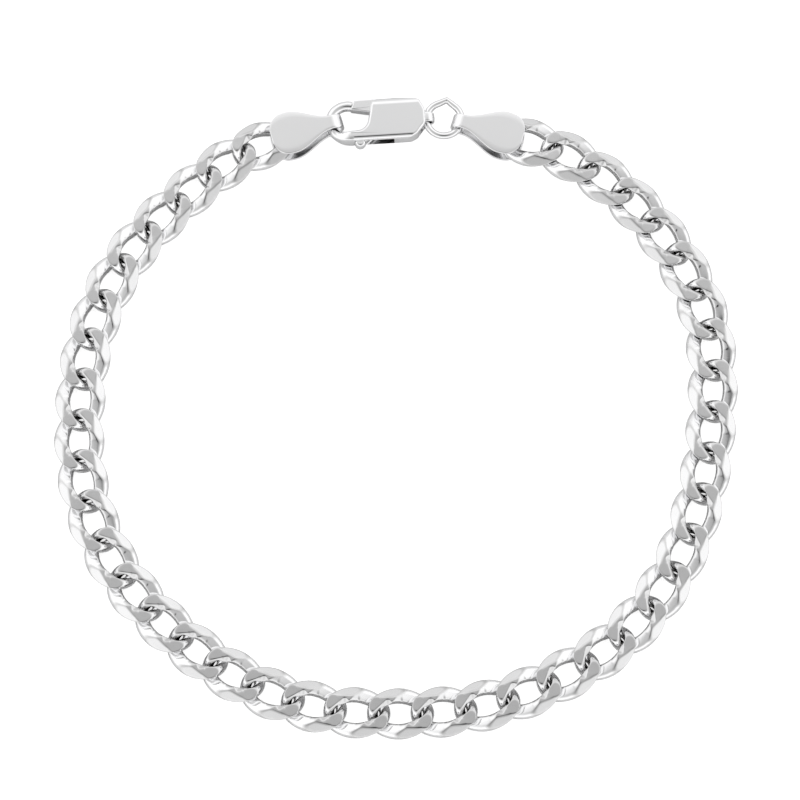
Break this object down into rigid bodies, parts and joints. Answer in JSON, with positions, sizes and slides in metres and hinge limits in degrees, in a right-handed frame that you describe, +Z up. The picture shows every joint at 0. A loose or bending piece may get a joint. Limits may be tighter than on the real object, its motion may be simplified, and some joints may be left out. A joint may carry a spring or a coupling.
{
  "type": "link bracelet",
  "caption": "Flat curb link bracelet with folded end caps, a jump ring and a lobster clasp, fastened in a whole loop that lies flat.",
  "frame": {"origin": "middle of the closed loop's bounding box, at the height of the surface that the links lie on", "axes": "+Z up, at a right angle to the loop; +Y from the middle towards the clasp; +X along the clasp, from its hook towards its jump ring"},
  "size_m": [0.0698, 0.0674, 0.0024],
  "materials": {
    "links": "polished silver, flats cut and finely scratched",
    "caps": "polished silver sheet with a soft satin face",
    "ring": "polished silver wire",
    "clasp": "polished silver casting with a soft satin face"
  },
  "bodies": {
    "bracelet": {"link_01": "links", "link_02": "links", "link_03": "links", "link_04": "links", "link_05": "links", "link_06": "links", "link_07": "links", "link_08": "links", "link_09": "links", "link_10": "links", "link_11": "links", "link_12": "links", "link_13": "links", "link_14": "links", "link_15": "links", "link_16": "links", "link_17": "links", "link_18": "links", "link_19": "links", "link_20": "links", "link_21": "links", "link_22": "links", "link_23": "links", "link_24": "links", "link_25": "links", "link_26": "links", "link_27": "links", "link_28": "links", "link_29": "links", "link_30": "links", "link_31": "links", "link_32": "links", "link_33": "links", "link_34": "links", "link_35": "links", "link_36": "links", "link_37": "links", "link_38": "links", "link_39": "links", "link_40": "links", "link_41": "links", "end_cap_ring": "caps", "end_cap_hook": "caps", "jump_ring": "ring", "clasp_body": "clasp"},
    "lever": {"clasp_lever": "clasp"}
  },
  "joints": [
    {"name": "lever_pivot", "type": "hinge", "parent": "bracelet", "child": "lever", "pos_m": [-0.00143, 0.03255, 0.00119], "axis": [0, 0, 1], "range_deg": [0, 25], "stiffness_Nm_per_rad": 0.008}
  ]
}
